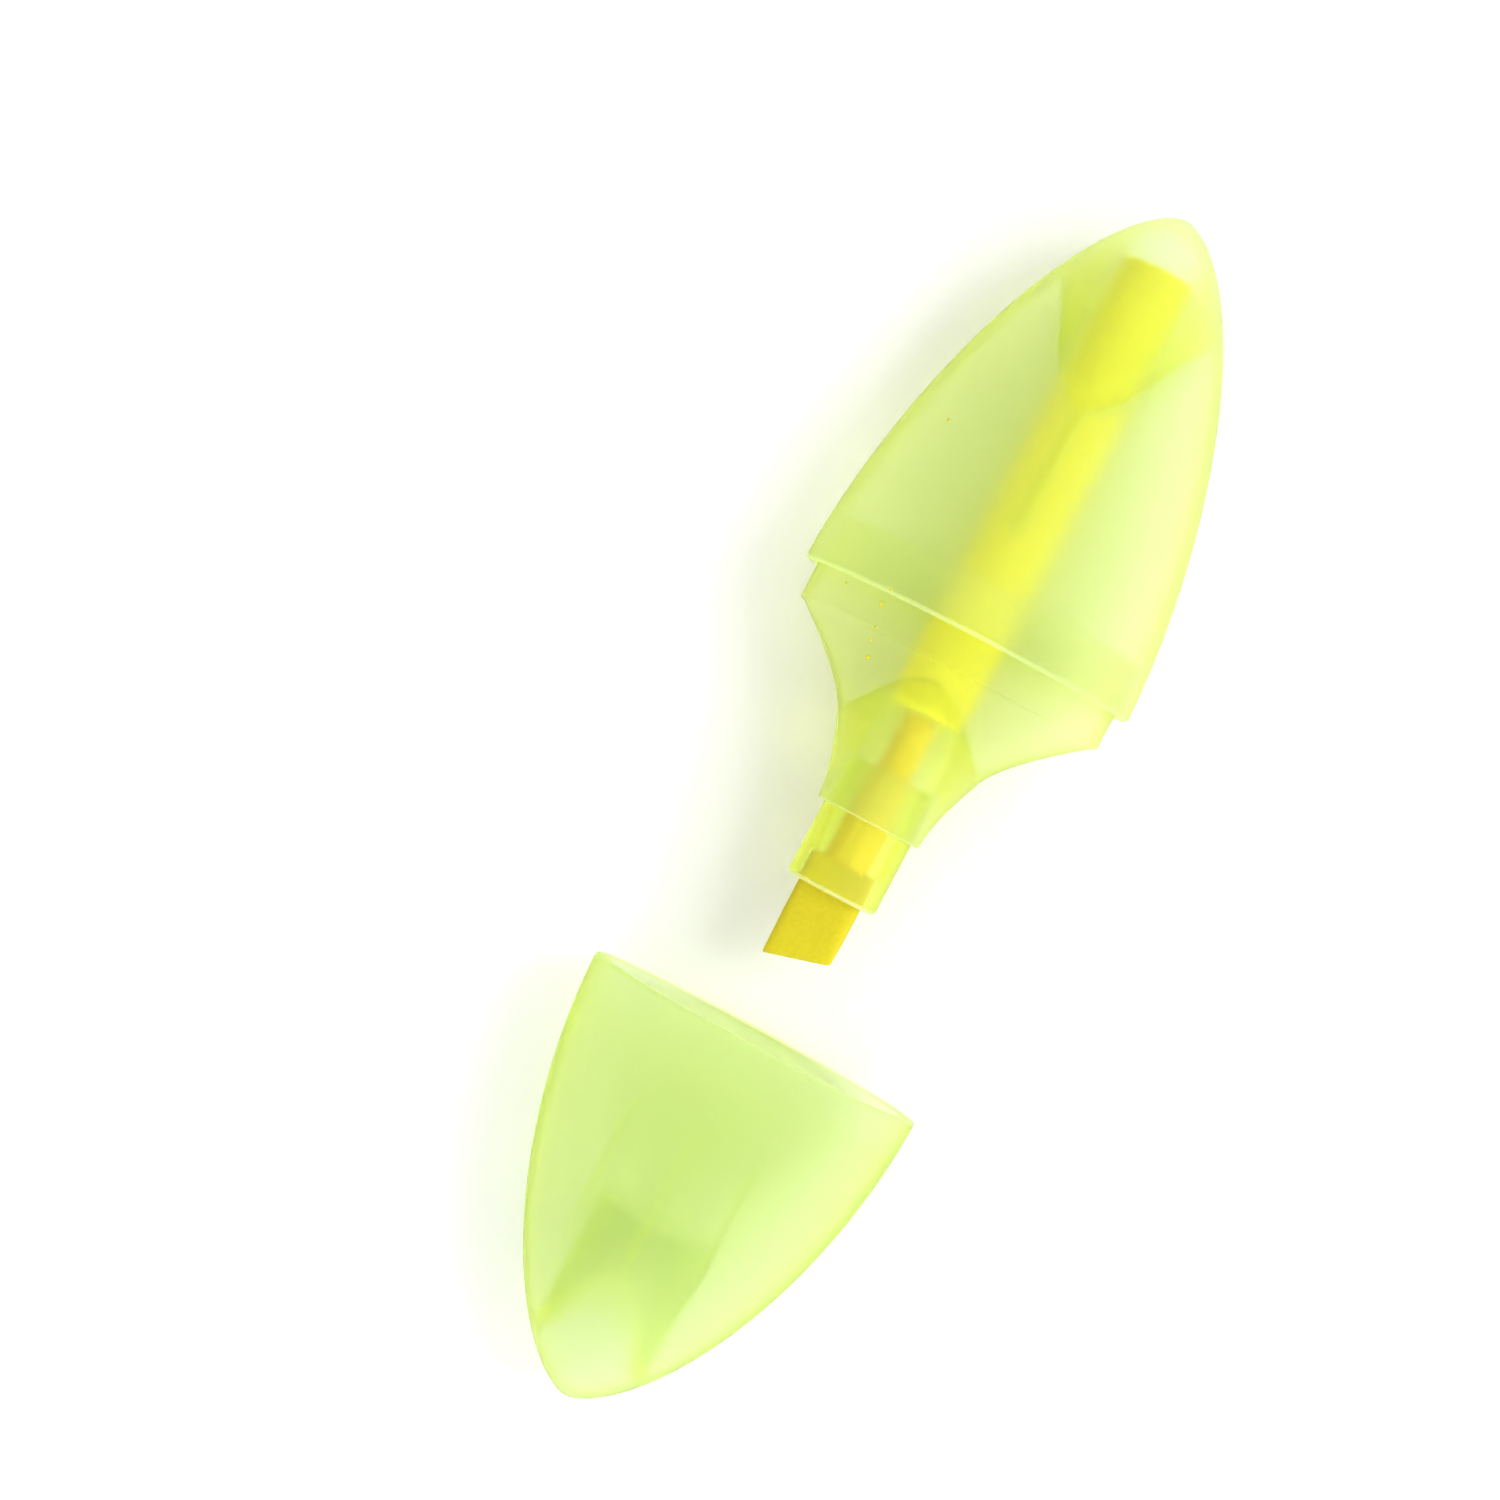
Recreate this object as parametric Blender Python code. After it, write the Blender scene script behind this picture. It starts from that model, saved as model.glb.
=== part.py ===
"""An oval highlighter with its cap pulled off in line, lying on its broad side.

The pen's axis runs along X with the nib towards -X, the wide direction is Y and the thin one is Z.
Stations along the pen are in millimetres from the barrel's rim, positive towards the closed end.
The origin is the bottom centre of the whole object as it lies, so every part is shifted by PEN_SHIFT.
"""

import math

import bmesh
import bpy
from mathutils import Matrix, Vector

MM = 0.001

# Driving dimensions, in millimetres
HALF_WIDTH = 14.94          # of barrel and cap, where they meet
HALF_THICKNESS = 8.47
BARREL_LENGTH = 39.0
CAP_LENGTH = 33.5
CAP_INNER_LENGTH = 32.5
CAP_GAP = 0.3               # between the two rims when the cap is on
CAP_TRAVEL = 36.7           # how far the cap is pulled off at rest
WALL = 1.0                  # shell thickness at the rims
FIT = 0.14                  # clearance of the grip section in barrel and cap
PLUG_LENGTH = 4.5           # how far the grip section reaches into the barrel
STEP = 0.3                  # extra wall where the barrel's inner face stops the plug
RESERVOIR_RADIUS = 3.35
RESERVOIR_END = 33.9
RESERVOIR_START = -7.0
FILM_WALL = 0.12
FILM_CLEARANCE = 0.03
RESERVOIR_BORE = 3.7        # radius of the sockets that hold the reservoir
FERRULE_RADIUS = 4.02
FERRULE_TOP = -12.7
FERRULE_TIP = -23.7
NIB_SHOULDER = -21.2
NIB_TIP = -30.6
NIB_SLANT = 1.6             # how much shorter the nib is on its other edge
NIB_HALF_WIDTH = 2.77
NIB_HALF_THICKNESS = 1.7
NIB_EDGE = 0.8              # half thickness of the writing edge
SHANK_RADIUS = 1.95         # of the nib inside its holder
TAIL_RADIUS = 1.5           # of the nib's end inside the reservoir's chamber
SHOULDER = -3.1             # where the grip section stops following the barrel
WAIST = -10.4               # where its cheeks meet the collar
WAIST_HALF = (6.45, 5.35)   # half width and half thickness there
COLLAR_RADIUS = 4.65
COLLAR_END = -17.1
COLLAR_BORE = 4.14
CHAMBER_RADIUS = 3.3        # of the space round the nib's tail
SLEEVE_RIM = 17.1           # depth of the sealing sleeve's rim inside the cap's mouth
SLEEVE_BORE = 4.14
SLEEVE_RADIUS = 5.2
REBATE_DEPTH = 3.3          # of the slightly wider band inside the cap's mouth
REBATE = 0.15
CAP_RIB_ROWS = (-5.5, 0.0, 5.5)
CAP_RIB_START = 8.4         # depth inside the mouth
CAP_RIB_END = 24.0
CAP_RIB_THICKNESS = 0.75
BARREL_RIB = (9.3, 20.6)    # first and last station of the rib inside the barrel's front wall
SOCKET_RIB = (25.0, 31.9)   # and of the low rib that grips the reservoir
SOCKET_START = 15.0         # the round socket runs from here to the reservoir's end
DOME_RADIUS = 3.4           # of the air space past the reservoir, smaller than the reservoir's bore
DOME_TOP = 37.6
FAR = 10.0                  # reach of a tool that has to pass right through a piece

# Upper half of the solid block round the reservoir's socket, and of the domed floor of the grip
# section: station and distance from the axis
BLOCK_EDGE = [(19.8, 0), (22.1, 2.8), (26.7, 5.0), (31.2, 7.25), (36, 9.6)]
FLOOR_EDGE = [(-4.5, 0), (-5.0, 1.8), (-6.3, 3.6), (-8.4, 5.0), (-9.6, 6.4), (-12.0, 8.5)]

SIDES = 40                  # facets round an oval or round piece

PEN_SHIFT = (CAP_LENGTH + CAP_GAP + CAP_TRAVEL - BARREL_LENGTH) / 2
CAP_MOUTH = -(CAP_GAP + CAP_TRAVEL)


# ---- outlines -------------------------------------------------------------------------------------

def egg(distance, length, half, roundness, bluntness):
    """Half size of an egg-shaped shell at a distance from its mouth."""
    share = min(max(distance / length, 0.0), 1.0)
    return half * (1 - share ** roundness) ** bluntness


def barrel_outline(station):
    return (egg(station, BARREL_LENGTH, HALF_WIDTH, 1.70, 0.60),
            egg(station, BARREL_LENGTH, HALF_THICKNESS, 2.30, 0.50))


def cap_outline(depth):
    return (egg(depth, CAP_LENGTH, HALF_WIDTH, 1.84, 0.64),
            egg(depth, CAP_LENGTH, HALF_THICKNESS, 1.72, 0.51))


def cap_inner_outline(depth):
    return (egg(depth, CAP_INNER_LENGTH, HALF_WIDTH - WALL, 1.84, 0.64),
            egg(depth, CAP_INNER_LENGTH, HALF_THICKNESS - WALL, 1.72, 0.51))


def spread(first, last, count, crowding=1.0):
    """Stations from first to last, closer together near the last one when crowding is over 1."""
    return [first + (last - first) * (1 - (1 - i / (count - 1)) ** crowding) for i in range(count)]


def mirrored(edge):
    """A closed outline from its upper half, whose first point lies on the axis."""
    return edge + [(x, -y) for x, y in edge[:0:-1]]


# ---- mesh helpers ---------------------------------------------------------------------------------

def ring_points(station, half_width, half_thickness, square=2.0, slant=0.0):
    """Points round the axis; square over 2 makes the oval boxier, slant leans the ring in X."""
    points = []
    for i in range(SIDES):
        angle = 2 * math.pi * i / SIDES
        c, s = math.cos(angle), math.sin(angle)
        y = half_width * math.copysign(abs(c) ** (2 / square), c)
        z = half_thickness * math.copysign(abs(s) ** (2 / square), s)
        points.append((station - slant * y, y, z))
    return points


def add_object(name, mesh):
    thing = bpy.data.objects.new(name, mesh)
    bpy.context.scene.collection.objects.link(thing)
    return thing


def loft(name, rings, closed_path=False):
    """One closed body through a list of rings. An open path is closed with a face at each end."""
    work = bmesh.new()
    loops = [[work.verts.new(Vector(p) * MM) for p in ring] for ring in rings]
    pairs = list(zip(loops, loops[1:]))
    if closed_path:
        pairs.append((loops[-1], loops[0]))
    for low, high in pairs:
        for i in range(SIDES):
            j = (i + 1) % SIDES
            work.faces.new((low[i], low[j], high[j], high[i]))
    if not closed_path:
        work.faces.new(loops[0][::-1])
        work.faces.new(loops[-1])
    bmesh.ops.recalc_face_normals(work, faces=work.faces)
    mesh = bpy.data.meshes.new(name)
    work.to_mesh(mesh)
    work.free()
    return add_object(name, mesh)


def prism(name, outline, low, high, axis="Z"):
    """A flat outline pushed from low to high: in XY along Z, or in YZ along X."""
    work = bmesh.new()
    if axis == "Z":
        corners = [Vector((a, b, low)) * MM for a, b in outline]
        push = Vector((0, 0, high - low)) * MM
    else:
        corners = [Vector((low, a, b)) * MM for a, b in outline]
        push = Vector((high - low, 0, 0)) * MM
    face = work.faces.new([work.verts.new(c) for c in corners])
    made = bmesh.ops.extrude_face_region(work, geom=[face])
    moved = [g for g in made["geom"] if isinstance(g, bmesh.types.BMVert)]
    bmesh.ops.translate(work, verts=moved, vec=push)
    bmesh.ops.recalc_face_normals(work, faces=work.faces)
    mesh = bpy.data.meshes.new(name)
    work.to_mesh(mesh)
    work.free()
    return add_object(name, mesh)


def rod(name, radius, low, high):
    """A round bar along the pen's axis."""
    return loft(name, [ring_points(low, radius, radius), ring_points(high, radius, radius)])


def bar(name, x_range, y_range, z_range):
    (x0, x1), (y0, y1), (z0, z1) = x_range, y_range, z_range
    return prism(name, [(x0, y0), (x1, y0), (x1, y1), (x0, y1)], z0, z1)


def cut(body, tool, operation="DIFFERENCE"):
    """Take one body from another, add it, or keep what they share. The tool stays as a guide."""
    step = body.modifiers.new(tool.name, "BOOLEAN")
    step.operation = operation
    step.object = tool
    step.solver = "EXACT"
    tool.hide_render = True
    tool.display_type = "WIRE"
    return body


def smooth(body, angle=35):
    body.data.shade_smooth()
    body.data.set_sharp_from_angle(angle=math.radians(angle))


def material(name, colour, roughness, alpha=1.0):
    made = bpy.data.materials.new(name)
    made.use_nodes = True
    shader = made.node_tree.nodes["Principled BSDF"]
    shader.inputs["Base Color"].default_value = (*colour, 1)
    shader.inputs["Roughness"].default_value = roughness
    shader.inputs["Metallic"].default_value = 0
    shader.inputs["Alpha"].default_value = alpha
    return made


def finish(body, made, shift):
    """Give a piece its material and move it, with its guides, to where it lies."""
    body.data.materials.append(made)
    smooth(body)
    pieces = [body]
    for piece in pieces:
        piece.location = Vector((shift, 0, HALF_THICKNESS)) * MM
        pieces += [m.object for m in piece.modifiers if m.object not in pieces]


# ---- barrel ---------------------------------------------------------------------------------------

def barrel_cavity():
    """The hollow of the barrel, which a wedge-shaped block and a rib interrupt."""
    rings = [ring_points(-1, HALF_WIDTH - WALL, HALF_THICKNESS - WALL)]
    for station in spread(0, PLUG_LENGTH + 0.2, 3):
        width, thickness = barrel_outline(station)
        rings.append(ring_points(station, width - WALL, thickness - WALL))
    for station in spread(PLUG_LENGTH + 0.25, RESERVOIR_END - 0.7, 9, 1.3):
        width, thickness = barrel_outline(station)
        rings.append(ring_points(station, width - WALL - STEP, thickness - WALL - STEP))
    hollow = loft("barrel_hollow", rings)
    cut(hollow, prism("reservoir_block", mirrored(BLOCK_EDGE), -FAR, FAR))
    cut(hollow, bar("front_rib", BARREL_RIB, (-0.35, 0.35), (RESERVOIR_BORE, FAR)))
    return hollow


def end_socket():
    """The bore that holds the reservoir, with a small domed air space past its end."""
    rings = [ring_points(SOCKET_START, RESERVOIR_BORE, RESERVOIR_BORE),
             ring_points(RESERVOIR_END + 0.3, RESERVOIR_BORE, RESERVOIR_BORE)]
    for station in spread(RESERVOIR_END + 0.35, DOME_TOP - 0.05, 6, 1.8):
        share = (station - RESERVOIR_END) / (DOME_TOP - RESERVOIR_END)
        radius = DOME_RADIUS * math.sqrt(1 - share ** 2)
        rings.append(ring_points(station, radius, radius))
    socket = loft("end_socket", rings)
    cut(socket, bar("socket_rib", SOCKET_RIB, (-0.3, 0.3), (-6, 0.1 - RESERVOIR_BORE)))
    return socket


def build_barrel():
    stations = spread(0, BARREL_LENGTH - 0.02, 15, 2.0)
    body = loft("barrel", [ring_points(s, *barrel_outline(s)) for s in stations])
    cut(body, barrel_cavity())
    cut(body, end_socket())
    return body


# ---- grip section ---------------------------------------------------------------------------------

def section_outline(station):
    """Oval plug, shoulder, hollow-cheeked flare and round collar, from the barrel to the nib."""
    if station >= 0:
        width, thickness = barrel_outline(station)
        return width - WALL - FIT, thickness - WALL - FIT
    if station > SHOULDER:
        return HALF_WIDTH - WALL - FIT, HALF_THICKNESS - WALL - FIT
    width, thickness = WAIST_HALF
    if station > WAIST:
        sweep = (1 - (SHOULDER - station) / (SHOULDER - WAIST)) ** 1.38
        return width + 7.1 * sweep, thickness + 1.75 * sweep
    keep = (1 - (WAIST - station) / (WAIST - COLLAR_END)) ** 1.6
    return COLLAR_RADIUS + (width - COLLAR_RADIUS) * keep, COLLAR_RADIUS + (thickness - COLLAR_RADIUS) * keep


def section_hollow():
    """The oval hollow behind the shoulder, closed by a domed floor round the reservoir."""
    stations = [PLUG_LENGTH + 1, 3, 0, -3] + spread(-4.0, -11.0, 8)
    rings = []
    for station in stations:
        width, thickness = section_outline(min(station, PLUG_LENGTH))
        rings.append(ring_points(station, width - WALL, thickness - WALL))
    hollow = loft("section_hollow", rings)
    cut(hollow, prism("section_floor", mirrored(FLOOR_EDGE), -FAR, FAR))
    return hollow


def build_section():
    stations = [PLUG_LENGTH, PLUG_LENGTH / 2, 0, SHOULDER + 0.1]
    stations += spread(SHOULDER - 0.05, WAIST, 11) + spread(WAIST, COLLAR_END, 6)[1:]
    body = loft("grip_section", [ring_points(s, *section_outline(s)) for s in stations])
    cut(body, section_hollow())
    cut(body, rod("reservoir_seat", RESERVOIR_BORE, RESERVOIR_START - 0.2, PLUG_LENGTH + 1))
    cut(body, rod("nib_chamber", CHAMBER_RADIUS, FERRULE_TOP - 1, RESERVOIR_START))
    cut(body, rod("ferrule_seat", COLLAR_BORE, COLLAR_END - 1, FERRULE_TOP + 0.2))
    return body


# ---- nib and its holder ---------------------------------------------------------------------------

def ferrule_bore():
    """The round bore over the nib's shank, with four narrow gripping ribs."""
    outline = []
    for i in range(SIDES):
        angle = 2 * math.pi * i / SIDES
        on_rib = i % (SIDES // 4) in (0, 1)
        radius = SHANK_RADIUS + (0.2 if on_rib else 0.65)
        outline.append((radius * math.cos(angle), radius * math.sin(angle)))
    return prism("shank_bore", outline, NIB_SHOULDER, FERRULE_TOP + 1, axis="X")


def build_ferrule():
    lip = 0.35
    rings = [ring_points(FERRULE_TOP, FERRULE_RADIUS - 0.2, FERRULE_RADIUS - 0.2),
             ring_points(FERRULE_TOP - 0.3, FERRULE_RADIUS, FERRULE_RADIUS)]
    for i in range(5):
        angle = i * math.pi / 8
        radius = FERRULE_RADIUS - lip * (1 - math.cos(angle))
        rings.append(ring_points(FERRULE_TIP + lip * (1 - math.sin(angle)), radius, radius))
    body = loft("nib_ferrule", rings)
    cut(body, ferrule_bore())
    width, thickness = NIB_HALF_WIDTH + 0.2, NIB_HALF_THICKNESS + 0.2
    cut(body, loft("nib_mouth", [ring_points(station, width, thickness, 5)
                                 for station in (FERRULE_TIP - 1, NIB_SHOULDER + 0.2)]))
    return body


def build_nib():
    """Felt chisel: a slim round tail and shank, then a flat head cut off at a slant."""
    slope = NIB_SLANT / (2 * NIB_HALF_WIDTH)
    middle = NIB_TIP + NIB_SLANT / 2
    round_part = ((RESERVOIR_START - 0.4, TAIL_RADIUS - 0.2), (RESERVOIR_START - 0.8, TAIL_RADIUS),
                  (FERRULE_TOP + 0.3, TAIL_RADIUS), (FERRULE_TOP - 0.3, SHANK_RADIUS),
                  (NIB_SHOULDER + 0.22, SHANK_RADIUS))
    rings = [ring_points(station, radius, radius) for station, radius in round_part]
    rings += [ring_points(NIB_SHOULDER, NIB_HALF_WIDTH, NIB_HALF_THICKNESS, 6),
              ring_points(NIB_SHOULDER - 5, NIB_HALF_WIDTH + 0.04, NIB_HALF_THICKNESS, 6),
              ring_points(middle + 0.5, NIB_HALF_WIDTH, NIB_EDGE + 0.15, 5, slope),
              ring_points(middle, NIB_HALF_WIDTH - 0.12, NIB_EDGE, 5, slope)]
    return loft("nib", rings)


# ---- ink reservoir --------------------------------------------------------------------------------

def build_reservoir():
    low, high, r = RESERVOIR_START, RESERVOIR_END, RESERVOIR_RADIUS
    rings = [ring_points(low, r - 0.2, r - 0.2), ring_points(low + 0.2, r, r),
             ring_points(high - 0.2, r, r), ring_points(high, r - 0.2, r - 0.2)]
    return loft("ink_reservoir", rings)


def build_film():
    """The thin plastic film wrapped round the fibre, open at both ends."""
    inner = RESERVOIR_RADIUS + FILM_CLEARANCE
    outer = inner + FILM_WALL
    low, high = RESERVOIR_START + 0.4, RESERVOIR_END - 0.4
    rings = [ring_points(low, outer, outer), ring_points(high, outer, outer),
             ring_points(high, inner, inner), ring_points(low, inner, inner)]
    return loft("reservoir_film", rings, closed_path=True)


# ---- cap ------------------------------------------------------------------------------------------

def cap_hollow():
    """The cap's inner space as one oval body, with the shallow rebate at its mouth."""
    rings = [ring_points(1, HALF_WIDTH - WALL, HALF_THICKNESS - WALL)]
    for depth in (0, REBATE_DEPTH):
        width, thickness = cap_inner_outline(depth)
        rings.append(ring_points(-depth, width, thickness))
    for depth in spread(REBATE_DEPTH + 0.05, CAP_INNER_LENGTH - 0.02, 11, 1.8):
        width, thickness = cap_inner_outline(depth)
        less = REBATE * (1 - depth / CAP_INNER_LENGTH)
        rings.append(ring_points(-depth, width - less, thickness - less))
    return loft("cap_hollow", rings)


def cap_rib_outline(side):
    """Side view of a rib: it starts low on the broad wall and runs back into the sleeve."""
    near, far = -CAP_RIB_START, -CAP_RIB_END
    return [(near, side * 6.5), (near, side * FAR), (far, side * FAR), (far, side * 4.7),
            (-SLEEVE_RIM - 0.5, side * (SLEEVE_RADIUS - 0.1))]


def add_cap_ribs(hollow):
    upright = Matrix.Rotation(math.pi / 2, 4, "X")
    for side, name in ((1, "upper"), (-1, "lower")):
        for row, y in enumerate(CAP_RIB_ROWS):
            drop = 0.0 if y == 0 else 0.65 * side       # the wall curves away beside the middle
            outline = [(x, z - drop) for x, z in cap_rib_outline(side)]
            rib = prism(f"cap_rib_{name}_{row}", outline, -CAP_RIB_THICKNESS / 2, CAP_RIB_THICKNESS / 2)
            rib.data.transform(Matrix.Translation(Vector((0, y, 0)) * MM) @ upright)
            cut(hollow, rib)


def build_cap():
    stations = spread(0, CAP_LENGTH - 0.02, 15, 2.0)
    body = loft("cap", [ring_points(-s, *cap_outline(s)) for s in stations])
    around_sleeve = cap_hollow()
    around_sleeve.name = "space_round_sleeve"
    cut(around_sleeve, rod("sleeve_body", SLEEVE_RADIUS, -SLEEVE_RIM, -CAP_LENGTH - 2))
    add_cap_ribs(around_sleeve)
    cut(body, around_sleeve)
    inside_sleeve = cap_hollow()
    inside_sleeve.name = "space_in_sleeve"
    cut(inside_sleeve, rod("sleeve_bore", SLEEVE_BORE, 2 - SLEEVE_RIM, -CAP_LENGTH - 2), "INTERSECT")
    cut(body, inside_sleeve)
    return body


# ---- the whole object -----------------------------------------------------------------------------

def main():
    for thing in list(bpy.data.objects):
        bpy.data.objects.remove(thing, do_unlink=True)
    shell = material("frosted_green_plastic", (0.62, 0.86, 0.25), 0.45, 0.55)
    cap_shell = material("frosted_cap_plastic", (0.58, 0.88, 0.20), 0.45, 0.6)
    felt = material("inked_felt", (0.83, 0.63, 0.02), 0.85)
    fibre = material("inked_fibre", (0.80, 0.83, 0.04), 0.8)
    clear = material("clear_film", (0.85, 0.92, 0.45), 0.3, 0.35)
    pen = ((build_barrel(), shell), (build_section(), shell), (build_ferrule(), shell),
           (build_nib(), felt), (build_reservoir(), fibre), (build_film(), clear))
    for body, made in pen:
        finish(body, made, PEN_SHIFT)
    finish(build_cap(), cap_shell, PEN_SHIFT + CAP_MOUTH)


main()
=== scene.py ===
import math

import bmesh
import bpy
from mathutils import Matrix, Vector, noise


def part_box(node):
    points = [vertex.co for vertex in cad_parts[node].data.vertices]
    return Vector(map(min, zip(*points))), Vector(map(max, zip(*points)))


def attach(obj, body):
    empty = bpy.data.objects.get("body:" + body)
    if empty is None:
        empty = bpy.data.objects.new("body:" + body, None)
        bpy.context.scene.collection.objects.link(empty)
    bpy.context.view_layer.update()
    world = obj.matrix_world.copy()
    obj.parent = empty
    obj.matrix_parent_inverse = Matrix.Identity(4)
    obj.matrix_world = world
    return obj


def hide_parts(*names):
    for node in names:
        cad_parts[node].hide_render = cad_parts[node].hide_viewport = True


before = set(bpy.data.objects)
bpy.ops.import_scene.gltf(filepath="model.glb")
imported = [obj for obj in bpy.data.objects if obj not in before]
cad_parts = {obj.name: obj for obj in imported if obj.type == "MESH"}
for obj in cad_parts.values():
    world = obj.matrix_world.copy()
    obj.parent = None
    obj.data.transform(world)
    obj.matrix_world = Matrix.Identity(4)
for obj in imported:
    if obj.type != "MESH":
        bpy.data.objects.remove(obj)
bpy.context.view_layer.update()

MM = 0.001

# ---- places and sizes, in millimetres along the pen from the barrel's rim, + to its closed end -----

BARREL_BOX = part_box("barrel")
CAP_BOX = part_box("cap")
RIM_X = BARREL_BOX[0][0] / MM
AXIS_Z = (BARREL_BOX[0][2] + BARREL_BOX[1][2]) / 2 / MM
MOUTH_X = CAP_BOX[1][0] / MM
HALF_WIDTH = 14.94          # of barrel and cap, where they meet
HALF_THICKNESS = 8.47
BARREL_LENGTH = 39.0
CAP_LENGTH = 33.5
CAP_INNER_LENGTH = 32.5
WALL = 1.0                  # shell thickness at the rims
FIT = 0.14                  # clearance of the grip section in barrel and cap
STEP = 0.3                  # extra wall where the barrel's inner face stops the plug
MOUTH_EASE = 0.15           # by which the inner faces open out at a shell's mouth
PLUG_LENGTH = 4.5           # how far the grip section reaches into the barrel
BARREL_CURVES = ((1.70, 0.60), (2.30, 0.50))    # roundness and bluntness, from above and from the side
CAP_CURVES = ((1.84, 0.64), (1.72, 0.51))
BARREL_RIM = ((0, 0.24), (0.09, 0.09), (0.26, 0.01))    # depth past the rim and how much smaller
CAP_RIM = ((0, 0.28), (0.06, 0.09), (0.25, 0.01))
RESERVOIR_RADIUS = 3.35
RESERVOIR_BORE = 3.7
RESERVOIR_START = -7.0
RESERVOIR_END = 33.9
FILM_WALL = 0.12
FILM_CLEARANCE = 0.03
FERRULE_RADIUS = 4.02
FERRULE_TOP = -12.7
FERRULE_TIP = -23.7
NIB_SHOULDER = -21.2
NIB_BEVEL = -26.4           # where the head starts to thin towards its writing edge
NIB_TIP = -30.6
NIB_SLANT = 1.6             # how much shorter the nib is on its other edge
NIB_HALF_WIDTH = 2.77
NIB_HALF_THICKNESS = 1.7
SHANK_RADIUS = 1.95         # of the nib inside its holder
SHANK_TOP = -12.9
TAIL_RADIUS = 1.5           # of the nib's end inside the reservoir's chamber
TAIL_FOOT = -12.4
TAIL_END = -7.4
SHOULDER = -3.1             # where the grip section stops following the barrel
WAIST = -10.4               # where its cheeks meet the collar
WAIST_HALF = (6.45, 5.35)   # half width and half thickness there
FLARE = (7.1, 1.75)         # and what they gain up to the shoulder
COLLAR_RADIUS = 4.65
COLLAR_END = -17.1
COLLAR_BORE = 4.14
CHAMBER_RADIUS = 3.3        # of the space round the nib's tail
SLEEVE_RIM = 17.1           # depth of the sealing sleeve's rim inside the cap's mouth
SLEEVE_BORE = 4.14
SLEEVE_RADIUS = 5.2
REBATE_DEPTH = 3.3          # of the slightly wider band inside the cap's mouth
REBATE = 0.15
CAP_RIB_ROWS = (-5.5, 0.0, 5.5)
CAP_RIB_START = 8.4         # depth inside the mouth
CAP_RIB_END = 24.0
CAP_RIB_THICKNESS = 0.75
BARREL_RIB = (9.3, 20.6)    # first and last station of the rib inside the barrel's walls
SOCKET_RIB = (25.0, 31.9)   # and of the low rib that grips the reservoir
SOCKET_START = 15.0         # the round socket runs from here to the reservoir's end
DOME_RADIUS = 3.4           # of the air space past the reservoir, smaller than the reservoir's bore
DOME_TOP = 37.6
FAR = 10.0                  # reach of a tool that has to pass right through a piece
SIDES = 128                 # facets round an oval or round piece

# Upper half of the solid block round the reservoir's socket, and of the domed floor of the grip
# section: station and distance from the axis
BLOCK_EDGE = [(19.8, 0), (20.6, 1.2), (22.1, 2.8), (24.3, 4.1), (26.7, 5.0), (31.2, 7.25), (36, 9.6)]
FLOOR_EDGE = [(-4.5, 0), (-4.65, 0.9), (-5.1, 1.8), (-5.8, 2.8), (-6.8, 3.8), (-8.0, 4.8), (-9.0, 5.7),
              (-9.8, 6.7), (-12.0, 8.5)]

# Station, distance across and radius of each dried ink drop
INK_DROPS = ((-0.7, 10.3, 0.14), (-1.0, 6.75, 0.182), (-2.9, 6.3, 0.126), (-3.9, 6.2, 0.154),
             (-5.25, 5.8, 0.196), (0.2, 6.5, 0.126), (14.75, 9.0, 0.168))


# ---- outlines --------------------------------------------------------------------------------------

def egg(distance, length, half, roundness, bluntness):
    """Half size of an egg-shaped shell at a distance from its mouth."""
    share = min(max(distance / length, 0.0), 1.0)
    return half * (1 - share ** roundness) ** bluntness


def barrel_outline(station):
    wide, thin = BARREL_CURVES
    return egg(station, BARREL_LENGTH, HALF_WIDTH, *wide), egg(station, BARREL_LENGTH, HALF_THICKNESS, *thin)


def cap_outline(depth):
    wide, thin = CAP_CURVES
    return egg(depth, CAP_LENGTH, HALF_WIDTH, *wide), egg(depth, CAP_LENGTH, HALF_THICKNESS, *thin)


def cap_inner_outline(depth):
    wide, thin = CAP_CURVES
    return (egg(depth, CAP_INNER_LENGTH, HALF_WIDTH - WALL, *wide),
            egg(depth, CAP_INNER_LENGTH, HALF_THICKNESS - WALL, *thin))


def section_outline(station):
    """Oval plug, shoulder, hollow-cheeked flare and round collar, from the barrel to the nib."""
    if station >= 0:
        width, thickness = barrel_outline(station)
        return width - WALL - FIT, thickness - WALL - FIT
    if station > SHOULDER:
        return HALF_WIDTH - WALL - FIT, HALF_THICKNESS - WALL - FIT
    width, thickness = WAIST_HALF
    if station > WAIST:
        sweep = (1 - (SHOULDER - station) / (SHOULDER - WAIST)) ** 1.38
        return width + FLARE[0] * sweep, thickness + FLARE[1] * sweep
    fall = 1 - (1 - (WAIST - station) / (WAIST - COLLAR_END)) ** 1.6
    return width - (width - COLLAR_RADIUS) * fall, thickness - (thickness - COLLAR_RADIUS) * fall


def spread(first, last, count, crowding=1.0):
    """Stations from first to last, closer together near the last one when crowding is over 1."""
    return [first + (last - first) * (1 - (1 - i / (count - 1)) ** crowding) for i in range(count)]


def quarter(steps):
    """Sines and cosines of angles from 0 to a right angle, for a rounded edge."""
    turns = [i / steps * math.pi / 2 for i in range(steps + 1)]
    return [(math.sin(turn), math.cos(turn)) for turn in turns]


def mirrored(edge):
    """A closed outline from its upper half, whose first point lies on the axis."""
    return edge + [(x, -y) for x, y in edge[:0:-1]]


def bar(first, last, half):
    """The outline of a straight rib along the axis."""
    return [(first, -half), (last, -half), (last, half), (first, half)]


# ---- mesh helpers ----------------------------------------------------------------------------------

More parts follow.
